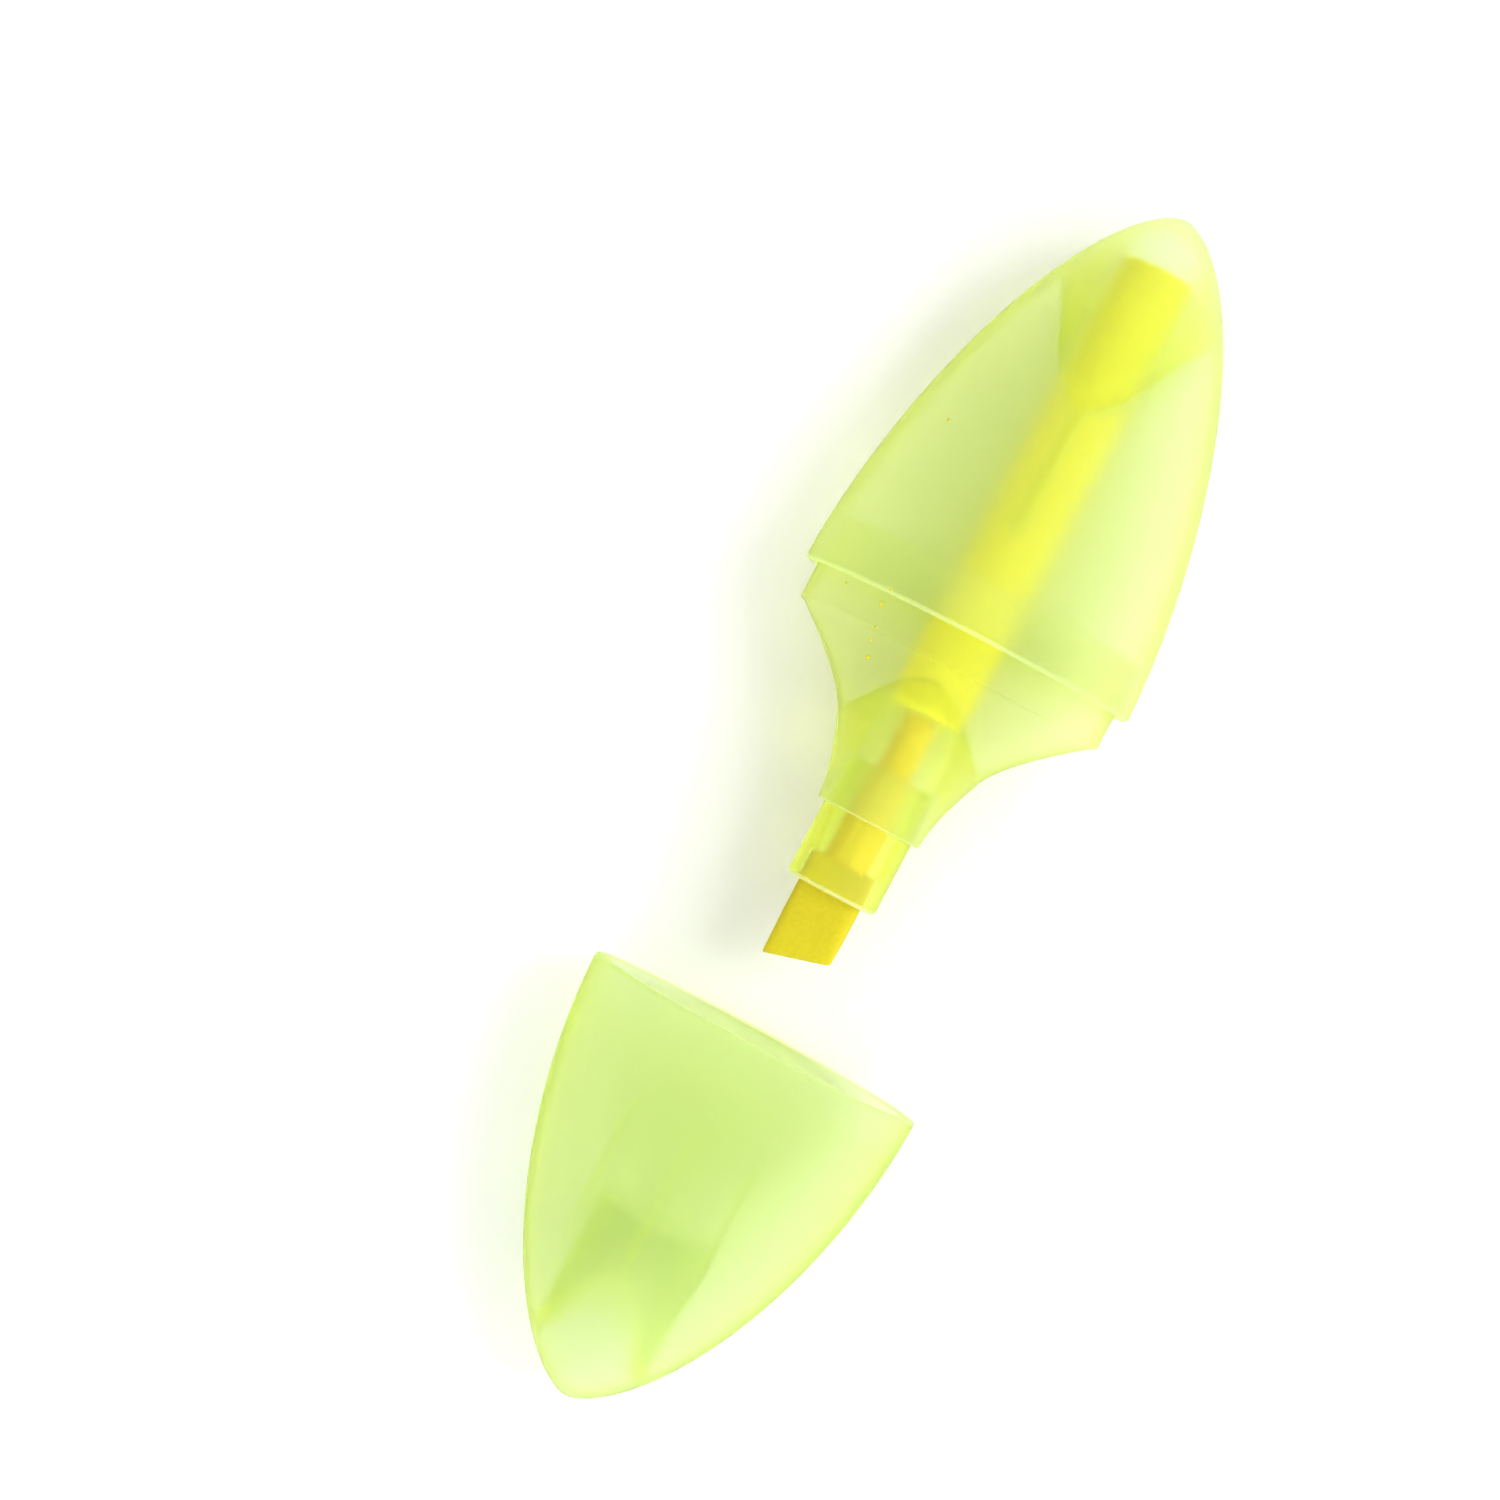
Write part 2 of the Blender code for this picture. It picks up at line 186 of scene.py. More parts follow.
def ring_points(station, half_width, half_thickness, square=2.0, slant=0.0, sides=SIDES):
    """Points round the axis; square over 2 makes the oval boxier, slant leans the ring in X."""
    points = []
    for i in range(sides):
        angle = 2 * math.pi * i / sides
        c, s = math.cos(angle), math.sin(angle)
        y = half_width * math.copysign(abs(c) ** (2 / square), c)
        z = half_thickness * math.copysign(abs(s) ** (2 / square), s)
        points.append((station - slant * y, y, z))
    return points


def add_object(name, mesh, shift):
    """Puts a mesh on the pen's axis, with its stations counted from the shift."""
    thing = bpy.data.objects.new(name, mesh)
    bpy.context.scene.collection.objects.link(thing)
    thing.data.transform(Matrix.Translation(Vector((shift, 0, AXIS_Z)) * MM))
    return thing


def close_mesh(work, name, shift):
    """Turns the finished mesh data into an object, with its faces outwards."""
    bmesh.ops.recalc_face_normals(work, faces=work.faces)
    mesh = bpy.data.meshes.new(name)
    work.to_mesh(mesh)
    work.free()
    return add_object(name, mesh, shift)


def loft(name, rings, shift, closed_path=False, poles=(None, None)):
    """One closed body through rings. An open path ends in a fan of faces, on a pole if one is given."""
    work = bmesh.new()
    loops = [[work.verts.new(Vector(p) * MM) for p in ring] for ring in rings]
    sides = len(loops[0])
    pairs = list(zip(loops, loops[1:]))
    if closed_path:
        pairs.append((loops[-1], loops[0]))
    for low, high in pairs:
        for i in range(sides):
            j = (i + 1) % sides
            work.faces.new((low[i], low[j], high[j], high[i]))
    if not closed_path:
        for loop, pole in ((loops[0], poles[0]), (loops[-1], poles[1])):
            if pole is None:
                work.faces.new(loop)
                continue
            tip = work.verts.new(Vector((pole, 0, 0)) * MM)
            for i in range(sides):
                work.faces.new((loop[i], loop[(i + 1) % sides], tip))
    return close_mesh(work, name, shift)


def prism(name, outline, low, high, shift, axis="Z"):
    """A flat outline pushed from low to high: in XY along Z, or in YZ along X."""
    work = bmesh.new()
    if axis == "Z":
        corners = [Vector((a, b, low)) * MM for a, b in outline]
        push = Vector((0, 0, high - low)) * MM
    else:
        corners = [Vector((low, a, b)) * MM for a, b in outline]
        push = Vector((high - low, 0, 0)) * MM
    face = work.faces.new([work.verts.new(c) for c in corners])
    made = bmesh.ops.extrude_face_region(work, geom=[face])
    moved = [g for g in made["geom"] if isinstance(g, bmesh.types.BMVert)]
    bmesh.ops.translate(work, verts=moved, vec=push)
    return close_mesh(work, name, shift)


def rod(name, radius, low, high, shift):
    """A round bar between two stations."""
    return loft(name, [ring_points(low, radius, radius), ring_points(high, radius, radius)], shift)


def cut(body, tool, operation="DIFFERENCE"):
    """Take one body from another, or keep what they share, and drop the tool."""
    step = body.modifiers.new("cut", "BOOLEAN")
    step.operation = operation
    step.object = tool
    step.solver = "EXACT"
    apply_modifiers(body)
    bpy.data.objects.remove(tool, do_unlink=True)


def apply_modifiers(body):
    """Bakes the modifiers into the mesh."""
    graph = bpy.context.evaluated_depsgraph_get()
    made = bpy.data.meshes.new_from_object(body.evaluated_get(graph))
    old = body.data
    body.modifiers.clear()
    body.data = made
    bpy.data.meshes.remove(old)


def smooth(body, angle=32):
    """Smooth shading, with sharp edges kept where faces meet at more than the angle in degrees."""
    body.data.shade_smooth()
    body.data.set_sharp_from_angle(angle=math.radians(angle))


# ---- materials -------------------------------------------------------------------------------------

def new_material(name):
    """A material with its node tree and its main shader."""
    made = bpy.data.materials.new(name)
    made.use_nodes = True
    return made, made.node_tree, made.node_tree.nodes["Principled BSDF"]


def fine_noise(tree, scale, detail):
    """Noise fixed to the piece, and the place it is read at."""
    place = tree.nodes.new("ShaderNodeTexCoord")
    grain = tree.nodes.new("ShaderNodeTexNoise")
    grain.inputs["Scale"].default_value = scale
    grain.inputs["Detail"].default_value = detail
    tree.links.new(place.outputs["Object"], grain.inputs["Vector"])
    return grain, place


def two_colours(tree, low, high):
    """A ramp from one colour to the other."""
    ramp = tree.nodes.new("ShaderNodeValToRGB")
    ramp.color_ramp.elements[0].color = (*low, 1)
    ramp.color_ramp.elements[1].color = (*high, 1)
    return ramp


def frosted_plastic(name, tint, density, soaked, roughness, clear, ior, glow=0.0, shine=(1, 1, 1),
                    bloom=0.0, plug=None):
    """Blasted translucent plastic: rough see-through walls that tint what is behind them, with a painted
    glow: the walls give off light of their own in the shine colour.

    The plug tint is a paler base colour, painted light, on the part of the grip section that sits in the
    barrel past its rim; it lightens the darker look that part has through the barrel's wall.
    """
    made, tree, shader = new_material(name)
    nodes, links = tree.nodes, tree.links
    shader.inputs["Base Color"].default_value = (*tint, 1)
    shader.inputs["Transmission Weight"].default_value = clear
    shader.inputs["IOR"].default_value = ior
    shader.inputs["Roughness"].default_value = roughness
    shader.inputs["Sheen Weight"].default_value = bloom
    shader.inputs["Sheen Roughness"].default_value = 0.35
    shader.inputs["Sheen Tint"].default_value = (*shine, 1)
    # painted glow: the plastic gives off light of its own in the shine colour
    shader.inputs["Emission Color"].default_value = (*shine, 1)
    shader.inputs["Emission Strength"].default_value = glow
    grain, place = fine_noise(tree, scale=9000, detail=3)
    bump = nodes.new("ShaderNodeBump")
    bump.inputs["Strength"].default_value = 0.12
    bump.inputs["Distance"].default_value = 0.03 * MM
    links.new(grain.outputs["Fac"], bump.inputs["Height"])
    links.new(bump.outputs["Normal"], shader.inputs["Normal"])
    # painted light: paler base colour past the barrel's rim, where the grip section is seen through the
    # barrel's wall
    if plug:
        blend = 0.2
        parts = nodes.new("ShaderNodeSeparateXYZ")
        inside = nodes.new("ShaderNodeMapRange")
        inside.inputs["From Min"].default_value = (RIM_X - blend) * MM
        inside.inputs["From Max"].default_value = (RIM_X + blend) * MM
        ramp = two_colours(tree, tint, plug)
        links.new(place.outputs["Object"], parts.inputs["Vector"])
        links.new(parts.outputs["X"], inside.inputs["Value"])
        links.new(inside.outputs["Result"], ramp.inputs["Fac"])
        links.new(ramp.outputs["Color"], shader.inputs["Base Color"])
    soak = nodes.new("ShaderNodeVolumeAbsorption")
    soak.inputs["Color"].default_value = (*soaked, 1)
    soak.inputs["Density"].default_value = density
    links.new(soak.outputs["Volume"], nodes["Material Output"].inputs["Volume"])
    return made


def inked_fibre(name, colour, deep, scale, glow=0.0, through=0.0):
    """Pressed fibre, mottled between a deep and a lighter colour, with a painted glow: it gives off a little
    light of its own.
    """
    made, tree, shader = new_material(name)
    grain, _ = fine_noise(tree, scale, detail=6)
    ramp = two_colours(tree, deep, colour)
    ramp.color_ramp.elements[0].position = 0.35
    ramp.color_ramp.elements[1].position = 0.65
    tree.links.new(grain.outputs["Fac"], ramp.inputs["Fac"])
    tree.links.new(ramp.outputs["Color"], shader.inputs["Base Color"])
    # painted glow in the fibre's own mottled colour
    tree.links.new(ramp.outputs["Color"], shader.inputs["Emission Color"])
    shader.inputs["Emission Strength"].default_value = glow
    shader.inputs["Transmission Weight"].default_value = through
    shader.inputs["IOR"].default_value = 1.15
    shader.inputs["Roughness"].default_value = 0.8
    return made


def make_materials():
    """Every material, by the part of the pen that it is for."""
    lime = (0.68, 0.92, 0.08)       # colour of the painted glow that the plastic gives off, also the tint of its sheen
    return {
        "shell": frosted_plastic(
            "barrel_frost", tint=(0.875, 0.90, 0.87), density=165, soaked=(0.955, 0.985, 0.06),
            roughness=0.66, clear=0.965, ior=1.18, glow=0.05, shine=lime, bloom=0.25),
        "grip": frosted_plastic(
            "section_frost", tint=(0.895, 0.912, 0.82), density=185, soaked=(0.955, 0.985, 0.06),
            roughness=0.60, clear=0.97, ior=1.13, glow=0.04, shine=lime, bloom=0.25,
            # paler plug tint: painted light on the part inside the barrel
            plug=(0.975, 0.98, 0.90)),
        "holder": frosted_plastic(
            "ferrule_frost", tint=(0.955, 0.98, 0.88), density=400, soaked=(0.965, 0.985, 0.06),
            roughness=0.46, clear=0.97, ior=1.13, glow=0.03, shine=lime, bloom=0.3),
        "cap": frosted_plastic(
            "cap_frost", tint=(0.835, 0.885, 0.82), density=250, soaked=(0.945, 0.985, 0.06),
            roughness=0.55, clear=0.95, ior=1.18, glow=0.045, shine=lime, bloom=0.3),
        # painted highlight: a paler plastic that glows, for the faces at the rims where light catches the
        # edges
        "edge": frosted_plastic(
            "painted_rim_highlight", tint=(0.96, 0.99, 0.90), density=150, soaked=(0.95, 0.985, 0.06),
            roughness=0.5, clear=0.85, ior=1.18, glow=0.20, shine=(0.95, 1.0, 0.40)),
        "film": frosted_plastic(
            "clear_film", tint=(1.0, 1.0, 0.9), density=10, soaked=(0.9, 0.95, 0.2),
            roughness=0.12, clear=1.0, ior=1.05),
        # the reservoir fibre and the nib felt carry a painted glow
        "fibre": inked_fibre(
            "reservoir_fibre", (0.87, 0.83, 0.012), (0.81, 0.77, 0.009), 3000, glow=0.21, through=0.4),
        "felt": inked_fibre("nib_felt", (0.53, 0.445, 0.021), (0.50, 0.42, 0.018), 2500, glow=0.32),
        # painted light: a brighter, stronger-glowing copy of the felt for the shank and tail, which are seen
        # through the holder and section
        "shank": inked_fibre("nib_shank_felt_painted_bright", (0.60, 0.48, 0.012), (0.57, 0.45, 0.009), 2500, glow=0.36),
        "ink": inked_fibre("dried_ink", (0.86, 0.70, 0.03), (0.80, 0.62, 0.02), 6000),
    }


# ---- barrel ----------------------------------------------------------------------------------------

def dome_radius(station):
    """The air space between the reservoir's end and the closed tip of the barrel."""
    share = (station - RESERVOIR_END) / (DOME_TOP - RESERVOIR_END)
    return DOME_RADIUS * math.sqrt(max(1 - share ** 2, 0))


def barrel_ring(station, less=0.0):
    width, thickness = barrel_outline(station)
    return ring_points(station, width - less, thickness - less)


def rim_rings(edge, inward):
    """The rounded outer edge of a shell at its rim. Inward is 1 or -1, towards the closed end."""
    return [ring_points(inward * depth, HALF_WIDTH - less, HALF_THICKNESS - less) for depth, less in edge]


def mouth_rings(inward):
    """The first rings of a shell's hollow, which starts outside the mouth and is a little wider there."""
    wide = (HALF_WIDTH - WALL + MOUTH_EASE, HALF_THICKNESS - WALL + MOUTH_EASE)
    return [ring_points(-inward, *wide), ring_points(0, *wide)]


def build_barrel():
    rings = rim_rings(BARREL_RIM, 1)
    rings += [barrel_ring(s) for s in spread(0.6, BARREL_LENGTH - 0.05, 60, 2.2)]
    body = loft("barrel_shell", rings, RIM_X, poles=(None, BARREL_LENGTH))
    inner = mouth_rings(1)
    inner.append(ring_points(MOUTH_EASE, HALF_WIDTH - WALL, HALF_THICKNESS - WALL))
    inner += [barrel_ring(s, WALL) for s in spread(0.5, PLUG_LENGTH + 0.2, 4)]
    inner += [barrel_ring(s, WALL + STEP) for s in spread(PLUG_LENGTH + 0.25, 33.2, 30, 1.3)]
    hollow = loft("barrel_hollow", inner, RIM_X)
    cut(hollow, prism("block", mirrored(BLOCK_EDGE), -FAR, FAR, RIM_X))
    cut(hollow, prism("rib", bar(*BARREL_RIB, 0.35), RESERVOIR_BORE, FAR, RIM_X))
    cut(body, hollow)
    socket_path = [(SOCKET_START, RESERVOIR_BORE), (RESERVOIR_END + 0.3, RESERVOIR_BORE)]
    socket_path += [(s, dome_radius(s)) for s in spread(RESERVOIR_END + 0.35, DOME_TOP - 0.02, 16, 2.0)]
    socket = loft("socket", [ring_points(s, r, r) for s, r in socket_path], RIM_X)
    cut(socket, prism("rib", bar(*SOCKET_RIB, 0.3), -6, 0.1 - RESERVOIR_BORE, RIM_X))
    cut(body, socket)
    smooth(body)
    return body


# ---- grip section ----------------------------------------------------------------------------------

def section_ring(station, less=0.0):
    width, thickness = section_outline(station)
    return ring_points(station, width - less, thickness - less)


def section_rings():
    """The outer skin from the plug's chamfered end down to the collar's rounded one."""
    chamfer, edge, lip = 0.3, 0.28, 0.2
    rings = [section_ring(PLUG_LENGTH, chamfer), section_ring(PLUG_LENGTH - chamfer)]
    rings += [section_ring(s) for s in (3, 1.5, 0.05, -0.05, -1.5, -2.7)]
    width, thickness = section_outline(SHOULDER / 2)
    for sine, cosine in quarter(6)[1:-1]:
        less = edge * 0.55 * (1 - cosine)
        rings.append(ring_points(SHOULDER + edge * (1 - sine), width - less, thickness - less))
    rings += [section_ring(s) for s in spread(SHOULDER - 0.12, WAIST, 34)]
    rings += [section_ring(s) for s in spread(WAIST, COLLAR_END + lip, 16)[1:]]
    for sine, cosine in quarter(4)[1:]:
        rings.append(section_ring(COLLAR_END + lip * (1 - sine), lip * (1 - cosine)))
    return rings


def build_section():
    body = loft("grip_section_skin", section_rings(), RIM_X)
    inner = []      # from past the plug's open end to below the floor that stops it
    for station in [PLUG_LENGTH + 1, 3, 0, -3] + spread(-4.0, -11.0, 24):
        width, thickness = section_outline(min(station, PLUG_LENGTH))
        inner.append(ring_points(station, width - WALL, thickness - WALL))
    hollow = loft("section_hollow", inner, RIM_X)
    cut(hollow, prism("section_floor", mirrored(FLOOR_EDGE), -FAR, FAR, RIM_X))
    cut(body, hollow)
    cut(body, rod("seat", RESERVOIR_BORE, RESERVOIR_START - 0.2, PLUG_LENGTH + 1, RIM_X))
    cut(body, rod("chamber", CHAMBER_RADIUS, FERRULE_TOP - 1, RESERVOIR_START, RIM_X))
    cut(body, rod("ferrule_seat", COLLAR_BORE, COLLAR_END - 1, FERRULE_TOP + 0.2, RIM_X))
    smooth(body)
    return body


def build_specks():
    """Dried ink drops on the front of the grip section and of the barrel."""
    work = bmesh.new()
    flat = Matrix.Diagonal((1, 0.8, 0.3, 1))
    for station, y, radius in INK_DROPS:
        width, thickness = barrel_outline(station) if station > 0 else section_outline(station)
        height = thickness * math.sqrt(1 - (y / width) ** 2)
        turn = math.atan2(y * thickness ** 2, height * width ** 2)
        place = Matrix.Translation(Vector((station, y, height)) * MM) @ Matrix.Rotation(-turn, 4, "X")
        bmesh.ops.create_icosphere(work, subdivisions=2, radius=radius * MM, matrix=place @ flat)
    return close_mesh(work, "ink_specks", RIM_X)


# ---- nib and its holder ----------------------------------------------------------------------------

def ferrule_bore():
    """A round hole with four crush ribs, which hold the nib's shank."""
    bore_radius, rib_radius, rib_half_angle = 2.6, 2.15, 0.13
    outline = []
    for i in range(SIDES):
        angle = 2 * math.pi * i / SIDES
        from_rib = abs((angle + math.pi / 4) % (math.pi / 2) - math.pi / 4)
        radius = rib_radius if from_rib < rib_half_angle else bore_radius
        outline.append((radius * math.cos(angle), radius * math.sin(angle)))
    return outline


def build_ferrule():
    lip, top = 0.4, 0.3
    path = [(FERRULE_TOP - top * (1 - cosine), FERRULE_RADIUS - top * (1 - sine))
            for sine, cosine in quarter(5)]
    path += [(s, FERRULE_RADIUS) for s in spread(FERRULE_TOP - 1, FERRULE_TIP + 1, 12)]
    path += [(FERRULE_TIP + lip * (1 - sine), FERRULE_RADIUS - lip * (1 - cosine))
             for sine, cosine in quarter(8)]
    body = loft("nib_holder", [ring_points(s, r, r) for s, r in path], RIM_X)
    cut(body, prism("bore", ferrule_bore(), NIB_SHOULDER, FERRULE_TOP + 1, RIM_X, axis="X"))
    wide, narrow = (3.05, 2.0), (2.97, 1.9)
    mouth = [(FERRULE_TIP - 1, wide), (FERRULE_TIP, wide), (FERRULE_TIP + 0.25, narrow),
             (NIB_SHOULDER + 0.2, narrow)]
    cut(body, loft("mouth", [ring_points(s, *half, square=5) for s, half in mouth], RIM_X))
    smooth(body)
    return body


def roughen(body, size, depth, along):
    """Pushes the surface in and out by a fine noise, drawn out along the pen by the factor."""
    for vertex in body.data.vertices:
        place = vertex.co / MM / size
        place.x /= along
        vertex.co += vertex.normal * noise.noise(place) * depth * MM


def nib_profile(middle):
    """Station, half width, half thickness, squareness and lean of each ring, from tail to writing edge."""
    profile = [(TAIL_END, 1.2, 1.2, 2, 0), (TAIL_END - 0.2, 1.45, 1.45, 2, 0)]
    profile += [(s, TAIL_RADIUS, TAIL_RADIUS, 2, 0) for s in spread(TAIL_END - 0.4, TAIL_FOOT, 18)]
    profile += [(s, SHANK_RADIUS, SHANK_RADIUS, 2, 0) for s in spread(SHANK_TOP, NIB_SHOULDER + 0.22, 24)]
    profile.append((NIB_SHOULDER + 0.08, 2.5, 1.65, 4, 0))
    full = NIB_HALF_WIDTH + 0.02
    profile += [(s, full, NIB_HALF_THICKNESS, 6, 0) for s in spread(NIB_SHOULDER - 0.05, NIB_BEVEL, 24)]
    slope = NIB_SLANT / (2 * NIB_HALF_WIDTH)
    steps = 18
    for i in range(1, steps + 1):
        share = i / steps
        station = NIB_BEVEL + (middle + 0.12 - NIB_BEVEL) * share
        thickness = NIB_HALF_THICKNESS - 0.82 * share
        profile.append((station, full - 0.04 * share, thickness, 6 - share, slope * share))
    profile.append((middle + 0.03, NIB_HALF_WIDTH - 0.1, 0.8, 5, slope))
    profile += [(middle, (NIB_HALF_WIDTH - 0.2) * k, 0.72 * k, 5, slope) for k in (1, 0.85, 0.6, 0.3)]
    return profile


def build_nib():
    """Felt chisel: a slim round tail and shank, then a flat head cut off at a slant."""
    middle = NIB_TIP + NIB_SLANT / 2
    rings = [ring_points(*row, sides=160) for row in nib_profile(middle)]
    body = loft("nib_felt_tip", rings, RIM_X, poles=(None, middle))
    roughen(body, size=0.22, depth=0.010, along=3.0)
    smooth(body, angle=50)
    return body


# ---- ink reservoir ---------------------------------------------------------------------------------

def build_reservoir():
    low, high, r = RESERVOIR_START, RESERVOIR_END, RESERVOIR_RADIUS
    chamfer = r - 0.12
    path = [(low, 0.3 * r), (low, 0.6 * r), (low, 0.9 * r), (low + 0.04, chamfer)]
    path += [(s, r) for s in spread(low + 0.2, high - 0.2, 60)]
    path += [(high - 0.04, chamfer), (high, 0.9 * r), (high, 0.6 * r), (high, 0.3 * r)]
    body = loft("ink_fibre_rod", [ring_points(s, half, half) for s, half in path], RIM_X, poles=(low, high))
    roughen(body, size=0.3, depth=0.018, along=12.0)
    smooth(body, angle=50)
    return body


def build_film():
    """The film's outer and inner faces, with the raised lap of its long seam."""
    inner = RESERVOIR_RADIUS + FILM_CLEARANCE
    seam, half_lap, lap = 1.9, 0.22, 0.04

    def ring(station, radius):
        points = []
        for i in range(SIDES):
            angle = 2 * math.pi * i / SIDES
            raised = radius + (lap if abs(angle - seam) < half_lap and radius > inner else 0)
            points.append((station, raised * math.cos(angle), raised * math.sin(angle)))
        return points

    stations = spread(RESERVOIR_START + 0.4, RESERVOIR_END - 0.4, 24)
    rings = [ring(s, inner + FILM_WALL) for s in stations] + [ring(s, inner) for s in reversed(stations)]
    body = loft("reservoir_wrap", rings, RIM_X, closed_path=True)
    smooth(body)
    return body


# ---- cap -------------------------------------------------------------------------------------------

def cap_hollow(name):
    """The cap's inner space as one oval body, with the shallow rebate at its mouth."""
    rings = mouth_rings(-1)
    for depth in (MOUTH_EASE, 1.2, 2.2, REBATE_DEPTH):
        rings.append(ring_points(-depth, *cap_inner_outline(depth)))
    for depth in spread(REBATE_DEPTH + 0.06, CAP_INNER_LENGTH - 0.03, 44, 1.8):
        width, thickness = cap_inner_outline(depth)
        less = REBATE * (1 - depth / CAP_INNER_LENGTH)
        rings.append(ring_points(-depth, width - less, thickness - less))
    return loft(name, rings, MOUTH_X, poles=(None, -CAP_INNER_LENGTH))


def cap_rib(side, y):
    """A rib that starts low on the broad wall and runs back into the sleeve."""
    near, far, half = -CAP_RIB_START, -CAP_RIB_END, CAP_RIB_THICKNESS / 2
    drop = 0.65 if y else 0.0       # the outer rows are lower, as the wall curves down
    outline = [(near, 6.62), (near - 0.15, 6.48), (-SLEEVE_RIM - 0.5, 5.1), (far, 4.7), (far, 9), (near, 9)]
    turned = [(x, side * (z - drop)) for x, z in outline]
    rib = prism("rib", turned, -half, half, 0)
    back = Matrix.Translation(Vector((0, 0, -AXIS_Z)) * MM)
    upright = Matrix.Rotation(math.pi / 2, 4, "X")
    place = Matrix.Translation(Vector((MOUTH_X, y, AXIS_Z)) * MM)
    rib.data.transform(place @ upright @ back)
    return rib


def build_cap():
    rings = rim_rings(CAP_RIM, -1)
    rings += [ring_points(-s, *cap_outline(s)) for s in spread(0.6, CAP_LENGTH - 0.05, 60, 2.2)]
    body = loft("cap_shell", rings, MOUTH_X, poles=(None, -CAP_LENGTH))
    around = cap_hollow("space_round_sleeve")
    cut(around, rod("sleeve", SLEEVE_RADIUS, -SLEEVE_RIM, -CAP_LENGTH - 2, MOUTH_X))
    for side in (1, -1):
        for y in CAP_RIB_ROWS:
            cut(around, cap_rib(side, y))
    cut(body, around)
    inside = cap_hollow("space_in_sleeve")
    cut(inside, rod("bore", SLEEVE_BORE, 2 - SLEEVE_RIM, -CAP_LENGTH - 2, MOUTH_X), "INTERSECT")
    cut(body, inside)
    smooth(body)
    return body


# ---- pieces in place -------------------------------------------------------------------------------

def paint(piece, made, chosen):
    """Gives a second material to the faces that a test chooses."""
    piece.data.materials.append(made)
    for face in piece.data.polygons:
        face.material_index = int(chosen(face))


def stand_for(piece, node, body, made, edge=None, rim=None):
    """Puts a piece in the place of a CAD node. Faces that close it at its rim get the edge material, a
    painted highlight that glows.

    The rim is the X of those faces and 1 or -1 for the way along X that they face.
    """
    piece.data.materials.clear()
    piece.data.materials.append(made)
    if edge:
        x, facing = rim
        near, turned = 0.4, 0.25
        paint(piece, edge, lambda face: (abs(face.center.x / MM - x) < near
                                         and face.normal.x * facing > turned))
    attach(piece, body)
    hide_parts(node)


# ---- light, floor and camera -----------------------------------------------------------------------

def build_stage():
    """A white table top, small enough for its edge to melt into the white backdrop."""
    work = bmesh.new()
    bmesh.ops.create_grid(work, x_segments=1, y_segments=1, size=0.5)
    mesh = bpy.data.meshes.new("floor")
    work.to_mesh(mesh)
    work.free()
    floor = bpy.data.objects.new("floor", mesh)
    bpy.context.scene.collection.objects.link(floor)
    made, _, shader = new_material("floor_white")
    shader.inputs["Base Color"].default_value = (0.94, 0.94, 0.94, 1)
    shader.inputs["Roughness"].default_value = 0.9
    mesh.materials.append(made)


def area_light(name, place, size, power):
    """A round lamp that looks at the middle of the object."""
    lamp = bpy.data.lights.new(name, "AREA")
    lamp.shape = "DISK"
    lamp.size = size
    lamp.energy = power
    thing = bpy.data.objects.new(name, lamp)
    bpy.context.scene.collection.objects.link(thing)
    thing.location = place
    thing.rotation_euler = (-thing.location).to_track_quat("-Z", "Y").to_euler()


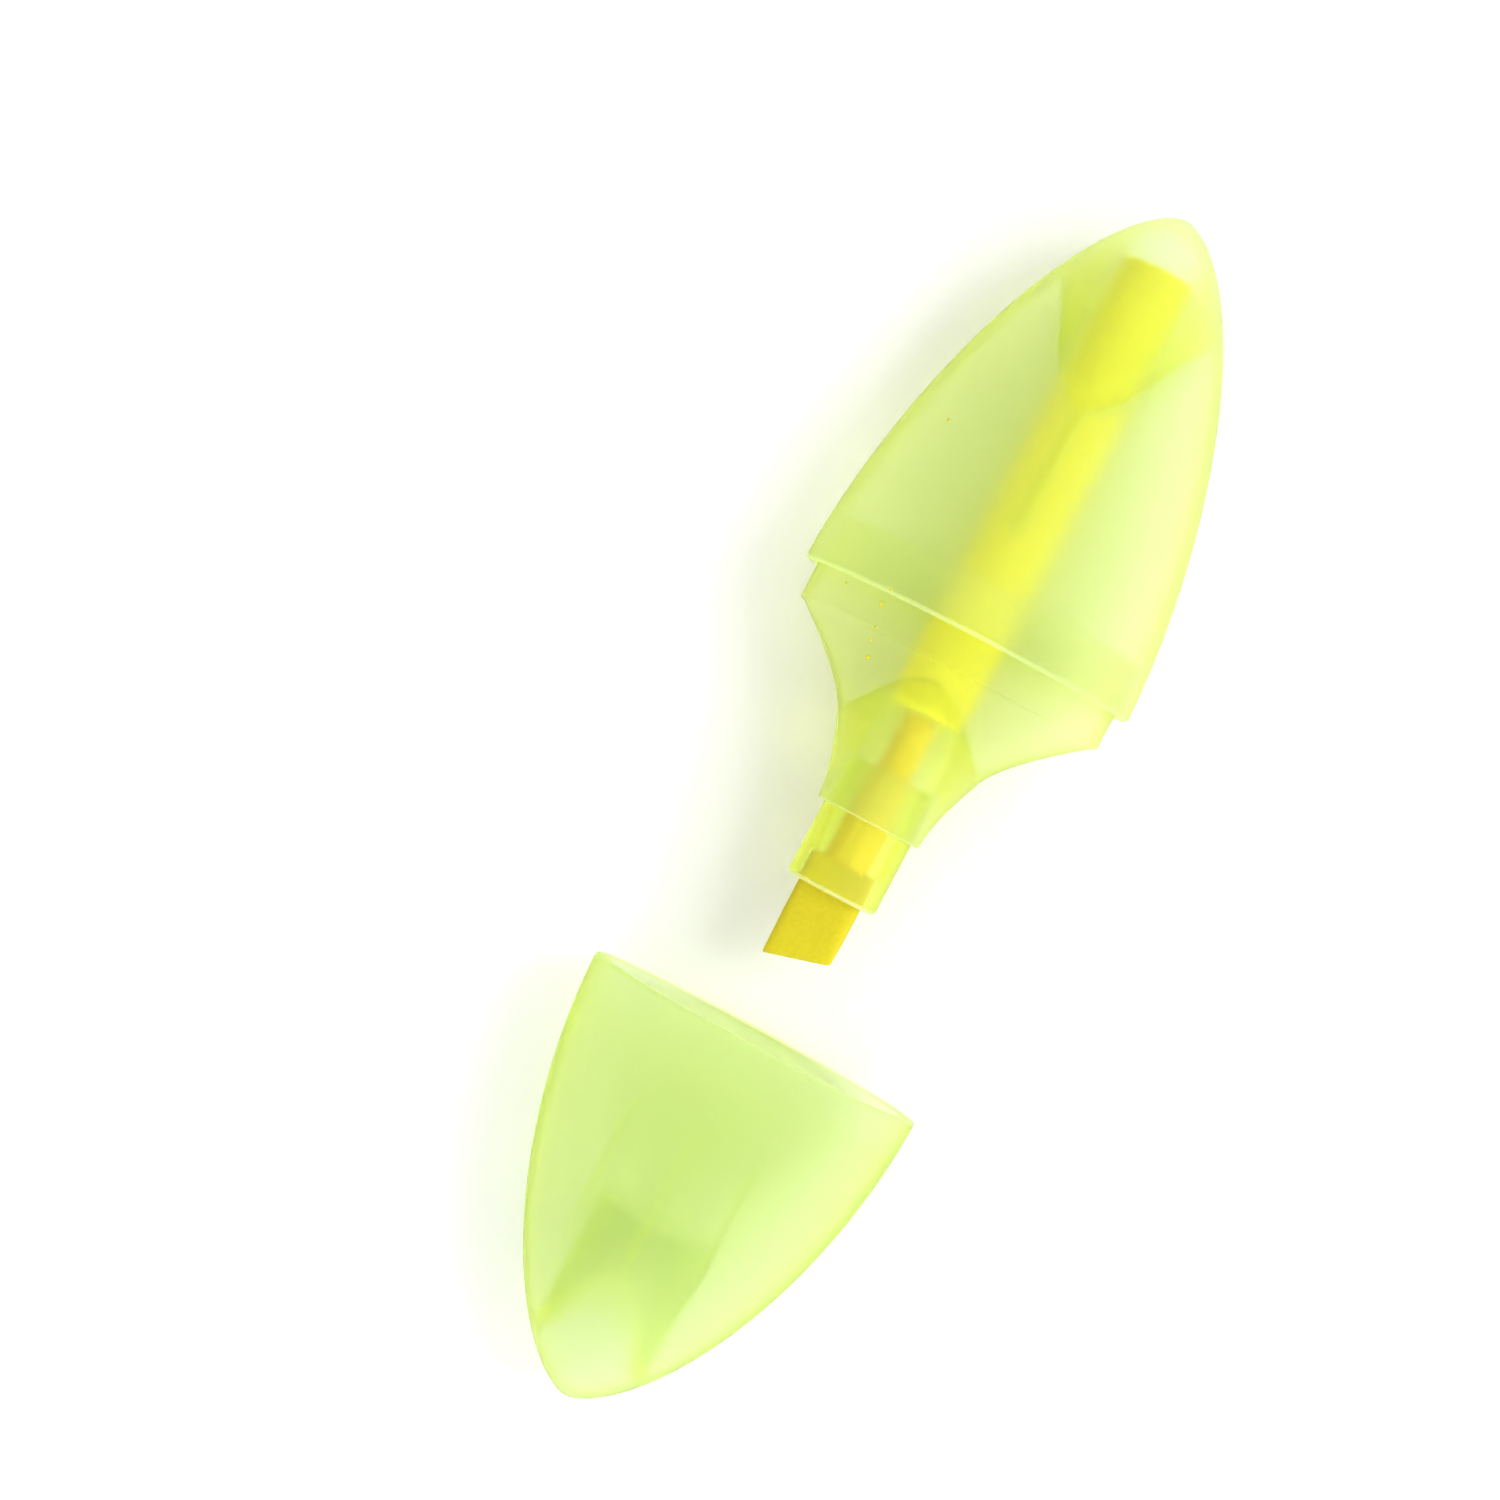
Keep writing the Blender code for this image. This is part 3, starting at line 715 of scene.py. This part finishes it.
def build_light():
    """A tent that shines more from one side and looks plain white, a key lamp and one for the rims."""
    world = bpy.data.worlds.new("studio")
    world.use_nodes = True
    nodes, links = world.node_tree.nodes, world.node_tree.links
    bright, dim = 1.62, 0.28
    place = nodes.new("ShaderNodeTexCoord")
    parts = nodes.new("ShaderNodeSeparateXYZ")
    side = nodes.new("ShaderNodeMapRange")
    side.inputs["From Min"].default_value = -1
    side.inputs["From Max"].default_value = 1
    side.inputs["To Min"].default_value = bright
    side.inputs["To Max"].default_value = dim
    links.new(place.outputs["Generated"], parts.inputs["Vector"])
    links.new(parts.outputs["Y"], side.inputs["Value"])
    backdrop = nodes.new("ShaderNodeMix")
    backdrop.inputs["B"].default_value = 1.0
    links.new(side.outputs["Result"], backdrop.inputs["A"])
    links.new(nodes.new("ShaderNodeLightPath").outputs["Is Camera Ray"], backdrop.inputs["Factor"])
    links.new(backdrop.outputs["Result"], nodes["Background"].inputs["Strength"])
    nodes["Background"].inputs["Color"].default_value = (1, 1, 1, 1)
    bpy.context.scene.world = world
    area_light("key", place=(0.17, -0.34, 0.45), size=0.25, power=1.2)
    area_light("rim_light", place=(-0.45, -0.05, 0.16), size=0.12, power=0.8)


def build_camera():
    """Looks almost straight down, rolled so that the pen leans as it does when writing."""
    tilt, lean = math.radians(8), math.radians(62.1)
    back = Vector((0, -math.sin(tilt), math.cos(tilt)))
    across = Vector((0, math.cos(tilt), math.sin(tilt)))
    along = Vector((1, 0, 0))
    right = math.cos(lean) * along - math.sin(lean) * across
    up = math.sin(lean) * along + math.cos(lean) * across
    rim = Vector((RIM_X, 0, AXIS_Z)) * MM
    towards_nib, aside = 16.35, 11.4        # from the barrel's rim to the middle of the picture
    centre = rim - towards_nib * MM * along + aside * MM * across
    lens, sensor, seen_width = 64.8, 36, 123.762
    distance = lens / sensor * seen_width * MM
    camera = bpy.data.objects.new("camera", bpy.data.cameras.new("camera"))
    camera.data.lens = lens
    camera.data.sensor_width = sensor
    camera.data.clip_start = 0.01
    turn = Matrix((right, up, back)).transposed().to_4x4()
    camera.matrix_world = Matrix.Translation(centre + back * distance) @ turn
    bpy.context.scene.collection.objects.link(camera)
    bpy.context.scene.camera = camera
    bpy.context.scene.view_settings.view_transform = "Standard"


# ---- the whole scene -------------------------------------------------------------------------------

def main():
    build_camera()
    build_light()
    build_stage()
    looks = make_materials()
    # the edge material paints a glowing highlight on the rim faces
    edge = looks["edge"]
    stand_for(build_barrel(), "barrel", "pen", looks["shell"], edge, (RIM_X, -1))
    stand_for(build_section(), "grip_section", "pen", looks["grip"],
              edge, (RIM_X + COLLAR_END, -1))
    specks = build_specks()
    specks.data.materials.append(looks["ink"])
    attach(specks, "pen")
    stand_for(build_ferrule(), "nib_ferrule", "pen", looks["holder"],
              edge, (RIM_X + FERRULE_TIP, -1))
    nib = build_nib()
    stand_for(nib, "nib", "pen", looks["felt"])
    # the shank and tail get the brighter, stronger-glowing felt copy: painted light where the shells shade
    # them
    paint(nib, looks["shank"], lambda face: face.center.x / MM > RIM_X + NIB_SHOULDER)
    stand_for(build_reservoir(), "ink_reservoir", "pen", looks["fibre"])
    stand_for(build_film(), "reservoir_film", "pen", looks["film"])
    stand_for(build_cap(), "cap", "cap", looks["cap"], edge, (MOUTH_X, 1))


main()
